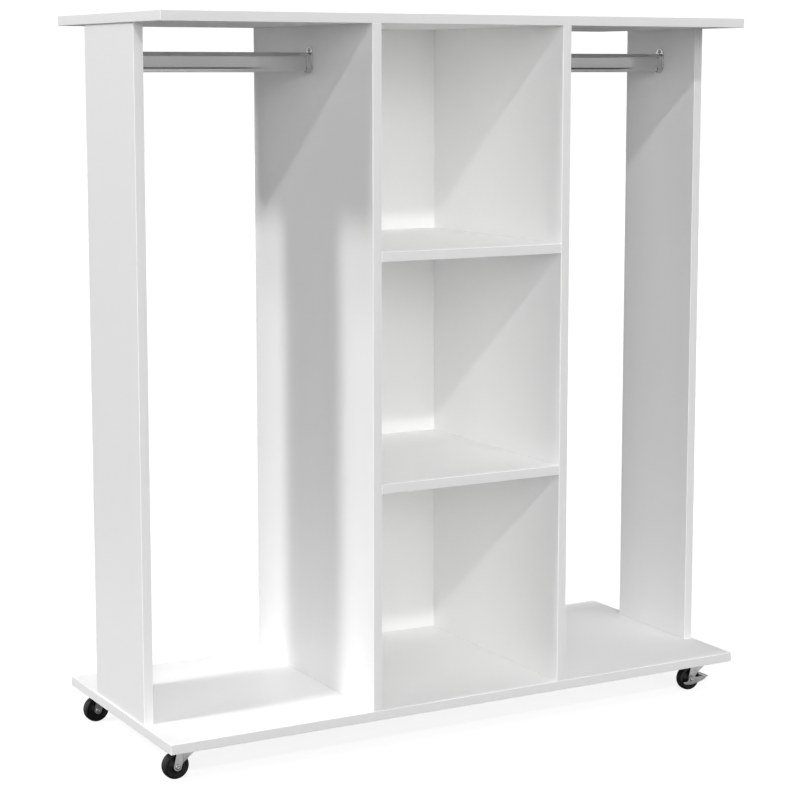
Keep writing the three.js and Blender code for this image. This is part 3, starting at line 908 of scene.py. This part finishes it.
# %% Fork
FORK_SHEET = 1.8 * MM
FORK_HEAD_TOP = -5.3 * MM
FORK_OUTSIDE = 10.6 * MM
FORK_FOOT_RADIUS = 6.3 * MM
FORK_CORNER = 1.2 * MM
KINGPIN_HOLE_RADIUS = 3.4 * MM
AXLE_CLEARANCE = 0.3 * MM
BEND = 2.8 * MM
FLAT = FORK_OUTSIDE - BEND
BEND_LENGTH = BEND * math.pi / 2


def down_leg(x, z):
    """A point of the leg, given by its place below the base, on the flat blank."""
    return (x, FLAT + BEND_LENGTH + (FORK_HEAD_TOP - BEND - z))


def fork_blank():
    """The outline of one half of the blank, from the head's middle line down to the foot and back."""
    foot = [down_leg(x, z) for x, z in arc((AXLE.x, AXLE.z), FORK_FOOT_RADIUS, -35, -180, 18)]
    return [
        (17 * MM, 0), (16.6 * MM, 3.5 * MM), (15.6 * MM, 6.5 * MM), (14.2 * MM, FLAT + 1.5 * MM),
        (13.2 * MM, FLAT + BEND_LENGTH), down_leg(12.3 * MM, -8.7 * MM), down_leg(2.6 * MM, -18.2 * MM),
        down_leg(-8.6 * MM, -26.6 * MM), *foot, down_leg(-17.4 * MM, -10 * MM),
        (-16.9 * MM, FLAT + BEND_LENGTH), (-16.2 * MM, FLAT), (-16.6 * MM, 3.5 * MM), (-17 * MM, 0),
    ]


def smooth_rise(value, low, high):
    part = min(max((value - low) / (high - low), 0), 1)
    return part * part * (3 - 2 * part)


def pressed_in(x, s):
    """How far the press pushes the leg's web towards the wheel."""
    below = smooth_rise(s, FLAT + 0.5 * BEND_LENGTH, FLAT + BEND_LENGTH + 2 * MM)
    web = smooth_rise(x, -8.6 * MM, -6.4 * MM) * 0.9 * MM + smooth_rise(x, -7 * MM, 3.4 * MM) * 1.5 * MM
    flank = smooth_rise(x, 2.2 * MM, 10 * MM) * 2.0 * MM
    corner = smooth_rise(x, 10 * MM, 13.2 * MM) * 1.8 * MM
    return below * (web - flank + corner)


def bend_blank(shape):
    """Bends the flat blank, whose upper face is the outside of the fork, into the fork."""
    for vert in shape.verts:
        x, s, lift = vert.co
        sign = 1 if s > 0 else -1
        along = abs(s)
        depth = -lift + pressed_in(x, along)
        if along <= FLAT:
            vert.co = (x, s, FORK_HEAD_TOP - depth)
        elif along <= FLAT + BEND_LENGTH:
            turn = (along - FLAT) / BEND
            radius = BEND - depth
            side = sign * (FLAT + radius * math.sin(turn))
            vert.co = (x, side, FORK_HEAD_TOP - BEND + radius * math.cos(turn))
        else:
            down = along - FLAT - BEND_LENGTH
            vert.co = (x, sign * (FORK_OUTSIDE - depth), FORK_HEAD_TOP - BEND - down)
    bmesh.ops.recalc_face_normals(shape, faces=shape.faces)
    return shape


def cut_in_grid(shape, axis, places):
    normal = Vector((0, 0, 0))
    normal[axis] = 1
    for at in places:
        everything = shape.verts[:] + shape.edges[:] + shape.faces[:]
        bmesh.ops.bisect_plane(shape, geom=everything, dist=TINY, plane_co=normal * at, plane_no=normal)


def in_fixed_order(shape):
    """Cutting leaves points and faces in an order that changes from run to run, so both are sorted."""
    points = sorted(shape.verts, key=lambda vert: tuple(vert.co))
    rank = {vert: index for index, vert in enumerate(points)}
    faces = sorted(shape.faces, key=lambda face: sorted(rank[vert] for vert in face.verts))
    rank.update((face, index) for index, face in enumerate(faces))
    shape.verts.sort(key=rank.get)
    shape.faces.sort(key=rank.get)
    return shape


def fork_shape():
    half = fork_blank()
    other = [(x, -s) for x, s in reversed(half[1:-1])]
    outline = softened([*half, *other], FORK_CORNER, 3)
    down = down_leg(0, AXLE.z)[1]
    axle_holes = [hole((AXLE.x, sign * down), AXLE_RADIUS + AXLE_CLEARANCE) for sign in (-1, 1)]
    blank = plate(outline, -FORK_SHEET, 0, [hole((0, 0), KINGPIN_HOLE_RADIUS, 24), *axle_holes])
    cut_in_grid(blank, 0, [x * MM for x in (-9, -8, -7, -6, -4, -2, 0, 2, 3, 4, 6, 8, 9, 10, 11, 12)])
    bends = [FLAT + BEND_LENGTH * step / 6 for step in range(7)]
    lines = bends + [FLAT + BEND_LENGTH + further * MM for further in (1, 2, 5)]
    cut_in_grid(blank, 1, [sign * s for s in lines for sign in (-1, 1)])
    return bend_blank(in_fixed_order(blank))


for word, place in CASTERS.items():
    shape = moved(fork_shape(), place)
    finished(word + "_fork", mesh_of(word, shape), ZINC, word + "_swivel",
             [word + "_caster_fork"], METAL_SMOOTH)

# %% [markdown]
# ### The wheel
# A nylon wheel is one moulding: a hub, a thin web with a raised ring, a rim and a rounded tread. One side
# of its section is written as corners with a softness each, scaled to the CAD wheel, mirrored and turned.

# %% Wheels
WHEEL_SIDES = 96
TREAD_FROM = 0.93  # of the wheel's radius


def wheel_profile():
    """One side of the wheel's section, from the bore to the middle of the tread."""
    corners = [  # radius, half width and softness
        (2.8, 8.0, 0.2), (4.6, 8.0, 0.3), (7.0, 7.7, 0.8), (7.6, 5.6, 0.6), (9.6, 5.0, 1.0), (9.9, 5.5, 0.2),
        (11.0, 5.5, 0.2), (11.3, 5.0, 0.3), (14.2, 5.2, 0.8), (15.0, 6.9, 0.5), (15.6, 7.25, 0.4),
        (17.2, 7.3, 0.8), (18.9, 6.3, 1.2), (19.75, 4.4, 1.5), (20.0, 2.2, 1.5), (20.0, 0.0, 0.1),
    ]
    scaled = [(r / 20 * WHEEL_RADIUS, y / 8 * WHEEL_HALF, soft * MM) for r, y, soft in corners]
    points = []
    for index in range(1, len(scaled) - 1):
        near = (Vector(each[:2]) for each in scaled[index - 1:index + 2])
        points += rounded_corner(*near, scaled[index][2], 3)
    return [Vector(scaled[0][:2]), *points, Vector(scaled[-1][:2])]


def wheel_shape():
    side = wheel_profile()
    mirrored = [Vector((r, -y)) for r, y in reversed(side[:-1])]
    shape = turned([*side, *mirrored], WHEEL_SIDES, closed=True)
    return moved(stood_up(shape), AXLE)


for word, place in CASTERS.items():
    mesh = mesh_of(word, moved(wheel_shape(), place))
    hub = place + AXLE
    tread_edge = TREAD_FROM * WHEEL_RADIUS
    mark_faces(mesh, TREAD_ATTRIBUTE, lambda at: math.hypot(at.x - hub.x, at.z - hub.z) > tread_edge)
    finished(word + "_wheel_moulding", mesh, NYLON, word + "_wheel",
             [word + "_caster_wheel"])

# %% [markdown]
# ### The axle
# The axle is a steel pin, riveted over at both ends. The riveting tool leaves a domed head with a dimple in
# its middle, which catches a bright spot of light. Both heads and the pin are one turned profile.

# %% Axles
RIVET_SIDES = 40
RIVET_HEAD = 1.4


def axle_shape(word):
    low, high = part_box(word + "_caster_axle")
    out = (high.y - low.y) / 2 / MM
    inside = out - RIVET_HEAD
    head = in_mm(
        (2.5, inside), (3.7, inside), (4, inside + 0.25), (3.85, inside + 0.75), (3.2, out - 0.25),
        (2.2, out), (1.6, out - 0.1), (1.1, out - 0.7), (0, out - 0.9),
    )
    profile = [(r, -y) for r, y in reversed(head)] + head
    return moved(stood_up(turned(profile, RIVET_SIDES)), AXLE)


for word, place in CASTERS.items():
    shape = moved(axle_shape(word), place)
    finished(word + "_axle_rivet", mesh_of(word, shape), STEEL, word + "_swivel",
             [word + "_caster_axle"], RIVET_SMOOTH)

# %% [markdown]
# ### The brake pedal
# The pedal straddles the wheel: two cheeks turn on the axle, each with a ring pressed up round it, and a
# foot pad joins them in front of the wheel, with a thin lip at its end. The outer cheek also has a heel.

# %% Brake pedals
PEDAL_INSIDE = 10.9 * MM
PEDAL_OUTSIDE = 12.4 * MM
# The outlines are given round the axle, in millimetres: forward, up, and how soft the corner is.
HEELED_CHEEK = (
    (-17, -3, 0.8), (-16.3, -6.3, 1.0), (-8, -8.9, 4), (2, -9.4, 5), (11.5, -7.2, 4), (21.5, -4.6, 1.5),
    (25.6, -3.5, 0.6), (25.8, 1.4, 0.6), (17, 1.9, 2), (8.2, 2.4, 2.0), (4.6, 4.6, 2.4), (0, 5.6, 3.0),
    (-4.2, 4.4, 2.6), (-6.2, 0.6, 2.4), (-9.2, -3.4, 2.0), (-12.5, -3.6, 1.5),
)
PLAIN_CHEEK = ((-6.2, -6.6, 4), *HEELED_CHEEK[3:13], (-6.8, 0.6, 2.4))
FOOT_PAD = (
    (20.9, -3.4, 0.4), (25.8, -3.4, 1.0), (29.6, -0.7, 1.0), (33, 0.4, 0.3), (33, 1.9, 0.4),
    (28.6, 1.0, 1.2), (25.6, 1.4, 0.8), (21.1, -0.9, 0.4),
)
PRESSED_RING = ((4.3, -0.2), (6.0, -0.2), (5.8, 0.25), (5.3, 0.45), (4.8, 0.4), (4.3, 0.1))


def pedal_shape():
    bore = [hole((0, 0), AXLE_RADIUS + AXLE_CLEARANCE)]
    shapes = []
    for corners, side in ((HEELED_CHEEK, -1), (PLAIN_CHEEK, 1)):
        low, high = sorted((side * PEDAL_INSIDE, side * PEDAL_OUTSIDE))
        shapes.append(stood_up(plate(softened(in_mm(*corners)), low, high, bore)))
        ring = [(radius * MM, side * (PEDAL_OUTSIDE + out * MM)) for radius, out in PRESSED_RING]
        shapes.append(stood_up(turned(ring, RIVET_SIDES, closed=True)))
    pad_half = (PEDAL_INSIDE + PEDAL_OUTSIDE) / 2
    pad = stood_up(plate(softened(in_mm(*FOOT_PAD), steps=3), -pad_half, pad_half))
    return moved(gathered(*shapes, pad), AXLE)


for word in BRAKED:
    shape = moved(pedal_shape(), CASTERS[word])
    finished(word + "_brake_lever", mesh_of(word, shape), ZINC, word + "_brake",
             [word + "_brake_pedal"], METAL_SMOOTH)

# %% [markdown]
# ## Screws and caps
# Fasteners repeat, so each kind is drawn once, in Geometry Nodes, and set on points. A tree has named inputs
# for its sizes. Its points carry the way that each screw faces, and a seeded random turn about that line
# keeps the slots from lining up, as on real furniture. The drive is cut out with a Boolean.
# The tree ends in Realize Instances and Set Material, and the result is turned into a plain mesh.

# %% The fastener tree
FACING = "facing"
SHANK_OVERLAP = 0.4 * MM
FASTENER_SIZES = (
    "Head Radius", "Seat Radius", "Head Height", "Dome", "Shank Radius", "Shank Length", "Drive Radius",
    "Drive Depth", "Turn",
)


def fastener_tree(name, drive):
    """A head on a shank, repeated on points. drive is hex, cross or none, which leaves out the shank."""
    tree = bpy.data.node_groups.new(name, "GeometryNodeTree")
    tree.interface.new_socket("Points", in_out="INPUT", socket_type="NodeSocketGeometry")
    for size in FASTENER_SIZES:
        tree.interface.new_socket(size, in_out="INPUT", socket_type="NodeSocketFloat")
    tree.interface.new_socket("Seed", in_out="INPUT", socket_type="NodeSocketInt")
    tree.interface.new_socket("Finish", in_out="INPUT", socket_type="NodeSocketMaterial")
    tree.interface.new_socket("Fasteners", in_out="OUTPUT", socket_type="NodeSocketGeometry")
    graph = Graph(tree)
    given = graph.node("NodeGroupInput").outputs
    size = {name: Amount(graph, given[name]) for name in FASTENER_SIZES}

    cone = graph.node("GeometryNodeMeshCone", {
        "Vertices": 32, "Side Segments": 2, "Fill Segments": 5, "Radius Top": size["Head Radius"],
        "Radius Bottom": size["Seat Radius"], "Depth": size["Head Height"],
    })
    x, y, z = parts_of(graph, graph.node("GeometryNodeInputPosition").outputs[0])
    out = (x * x + y * y) ** 0.5 / size["Head Radius"]
    on_top = z.math("GREATER_THAN", z, size["Head Height"] * 0.95)
    sink = (out ** 3) * size["Dome"] * -1.0
    lowered = graph.node("ShaderNodeCombineXYZ", {"Z": sink})
    head = graph.node("GeometryNodeSetPosition", {
        "Geometry": cone.outputs["Mesh"], "Selection": on_top, "Offset": lowered.outputs[0],
    }).outputs[0]
    if drive != "none":
        head = with_shank(graph, head, size)
        head = with_drive(graph, head, size, drive)

    facing = graph.node("GeometryNodeInputNamedAttribute", {"Name": FACING}, {"data_type": "FLOAT_VECTOR"})
    aligned = graph.node("FunctionNodeAlignRotationToVector", {"Vector": facing.outputs[0]}, {"axis": "Z"})
    copies = graph.node("GeometryNodeInstanceOnPoints", {
        "Points": given["Points"], "Instance": head, "Rotation": aligned.outputs[0],
    })
    seeded = {3: size["Turn"], "Seed": given["Seed"]}
    turn = graph.node("FunctionNodeRandomValue", seeded, {"data_type": "FLOAT"})
    spin = graph.node("ShaderNodeCombineXYZ", {"Z": turn.outputs[1]})
    spun = graph.node("GeometryNodeRotateInstances", {
        "Instances": copies.outputs[0], "Rotation": spin.outputs[0], "Local Space": True,
    })
    real = graph.node("GeometryNodeRealizeInstances", {"Geometry": spun.outputs[0]})
    painted = graph.node("GeometryNodeSetMaterial", {
        "Geometry": real.outputs[0], "Material": given["Finish"],
    })
    graph.node("NodeGroupOutput", {"Fasteners": painted.outputs[0]})
    return tree


def with_shank(graph, head, size):
    """Joins a pointed shank below the head."""
    length = size["Shank Length"] + SHANK_OVERLAP
    shank = graph.node("GeometryNodeMeshCone", {
        "Vertices": 20, "Radius Top": size["Shank Radius"], "Radius Bottom": size["Shank Radius"] * 0.8,
        "Depth": length,
    })
    below = graph.node("ShaderNodeCombineXYZ", {"Z": SHANK_OVERLAP - length})
    set_below = graph.node("GeometryNodeTransform", {
        "Geometry": shank.outputs["Mesh"], "Translation": below.outputs[0],
    })
    settings = {"operation": "UNION", "solver": "EXACT"}
    joined = graph.node("GeometryNodeMeshBoolean", {"Mesh 2": head}, settings)
    graph.tree.links.new(set_below.outputs[0], joined.inputs["Mesh 2"])
    return joined.outputs["Mesh"]


def with_drive(graph, head, size, drive):
    """Cuts a hexagon or a cross into the head's top."""
    depth = size["Drive Depth"]
    middle = graph.node("ShaderNodeCombineXYZ", {"Z": size["Head Height"]}).outputs[0]
    cutters = []
    if drive == "hex":
        prism = graph.node("GeometryNodeMeshCylinder", {
            "Vertices": 6, "Radius": size["Drive Radius"], "Depth": depth * 2.0,
        })
        cutters.append(prism.outputs["Mesh"])
    else:
        for wide, narrow in ((2.0, 0.5), (0.5, 2.0)):
            extent = graph.node("ShaderNodeCombineXYZ", {
                "X": size["Drive Radius"] * wide, "Y": size["Drive Radius"] * narrow, "Z": depth * 2.0,
            })
            bar = graph.node("GeometryNodeMeshCube", {"Size": extent.outputs[0]})
            cutters.append(bar.outputs["Mesh"])
    settings = {"operation": "DIFFERENCE", "solver": "EXACT"}
    cut = graph.node("GeometryNodeMeshBoolean", {"Mesh 1": head}, settings)
    for cutter in cutters:
        raised = graph.node("GeometryNodeTransform", {"Geometry": cutter, "Translation": middle})
        graph.tree.links.new(raised.outputs[0], cut.inputs["Mesh 2"])
    return cut.outputs["Mesh"]


HEX_TREE = fastener_tree("hex_fasteners", "hex")
CROSS_TREE = fastener_tree("cross_fasteners", "cross")
CAP_TREE = fastener_tree("cover_caps", "none")
print("fastener trees:", HEX_TREE.name, CROSS_TREE.name, CAP_TREE.name)

# %% Setting fasteners on points
def set_fasteners(name, tree, points, sizes, material, replaced=(), seed=1):
    """points are (place, facing) pairs. The evaluated result becomes a plain mesh."""
    mesh = bpy.data.meshes.new(name)
    mesh.from_pydata([place for place, _ in points], [], [])
    ways = mesh.attributes.new(FACING, "FLOAT_VECTOR", "POINT")
    ways.data.foreach_set("vector", [value for _, facing in points for value in facing])
    holder = bpy.data.objects.new(name, mesh)
    bpy.context.scene.collection.objects.link(holder)
    maker = holder.modifiers.new("fasteners", "NODES")
    maker.node_group = tree
    wanted = {**sizes, "Seed": seed, "Finish": material}
    for item in tree.interface.items_tree:
        if item.in_out == "INPUT" and item.name in wanted:
            maker[item.identifier] = wanted[item.name]
    ready = holder.evaluated_get(bpy.context.evaluated_depsgraph_get())
    plain = bpy.data.meshes.new_from_object(ready)
    bpy.data.objects.remove(holder)
    plain.name = name
    finished(name, plain, material, "rack", replaced, METAL_SMOOTH)


def fastener_sizes(*values, turn=0.0):
    """Sizes in millimetres, in the order of FASTENER_SIZES, and how far a screw may be turned at random."""
    return {**dict(zip(FASTENER_SIZES, (value * MM for value in values))), "Turn": turn}


def screw_places(nodes, outward):
    """Where the heads of some CAD screws are: the middle of each box, at its outer end."""
    places = []
    for node in nodes:
        low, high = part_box(node)
        facing = Vector(outward(node))
        reach = Vector((way * half for way, half in zip(facing, (high - low) / 2)))
        places.append(((low + high) / 2 + reach, facing))
    return places


print("fasteners can be set")

# %% Screws through the top and the base
FIXING_SIZES = fastener_sizes(4.5, 3.4, 2.0, 0.05, 2.4, 46, 2.1, 1.5, turn=math.pi)
FIXING_HEAD_HEIGHT = FIXING_SIZES["Head Height"]


def fixing_screws(end, way, seed):
    nodes = [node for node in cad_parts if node.startswith(end + "_screw_")]
    heads = screw_places(nodes, lambda _: way)
    points = [(place - facing * FIXING_HEAD_HEIGHT, facing) for place, facing in heads]
    set_fasteners(end + "_fixing_screws", HEX_TREE, points, FIXING_SIZES, STEEL, nodes, seed)
    return points


top_points = fixing_screws("top", (0, 0, 1), 3)
fixing_screws("base", (0, 0, -1), 4)

# %% Cover caps on the top board
CAP_GAP = 0.02 * MM
CAP_SIZES = fastener_sizes(5.6, 6.2, 1.1, 0.45)
cap_points = [(place + facing * (FIXING_HEAD_HEIGHT + CAP_GAP), facing) for place, facing in top_points]
set_fasteners("top_cover_caps", CAP_TREE, cap_points, CAP_SIZES, CAP_PLASTIC)

# %% Screws in the rail sockets
RAIL_SCREW_SIZES = fastener_sizes(2.9, 3.4, 1.8, 0.8, 1.7, 12, 1.7, 1.1, turn=math.pi)
RAIL_SCREW_HEIGHT = RAIL_SCREW_SIZES["Head Height"]


def socket_way(node):
    """Sockets at a bay's left end face +X, and at its right end -X."""
    left_end = node.startswith("left_rail_outer") or node.startswith("right_rail_inner")
    return (1, 0, 0) if left_end else (-1, 0, 0)


rail_screws = [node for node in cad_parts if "_rail_" in node and node.endswith("_screw")]
rail_heads = screw_places(rail_screws, socket_way)
rail_points = [(place - facing * RAIL_SCREW_HEIGHT, facing) for place, facing in rail_heads]
set_fasteners("rail_socket_screws", CROSS_TREE, rail_points, RAIL_SCREW_SIZES, STEEL,
              rail_screws, 5)

# %% Screws in the mounting plates
PLATE_SCREW_SIZES = fastener_sizes(3.0, 3.7, 2.1, 0.9, 2.0, 1.9, 1.9, 1.2, turn=math.pi)
plate_points = [
    (place + Vector((x * SCREW_PITCH / 2, y * SCREW_PITCH / 2, -PLATE_SHEET)), Vector((0, 0, -1)))
    for place in CASTERS.values() for x in (-1, 1) for y in (-1, 1)
]
set_fasteners("mounting_plate_screws", CROSS_TREE, plate_points, PLATE_SCREW_SIZES, STEEL,
              seed=6)

# %% [markdown]
# ## The finished rack

# %% Update the scene
bpy.context.view_layer.update()
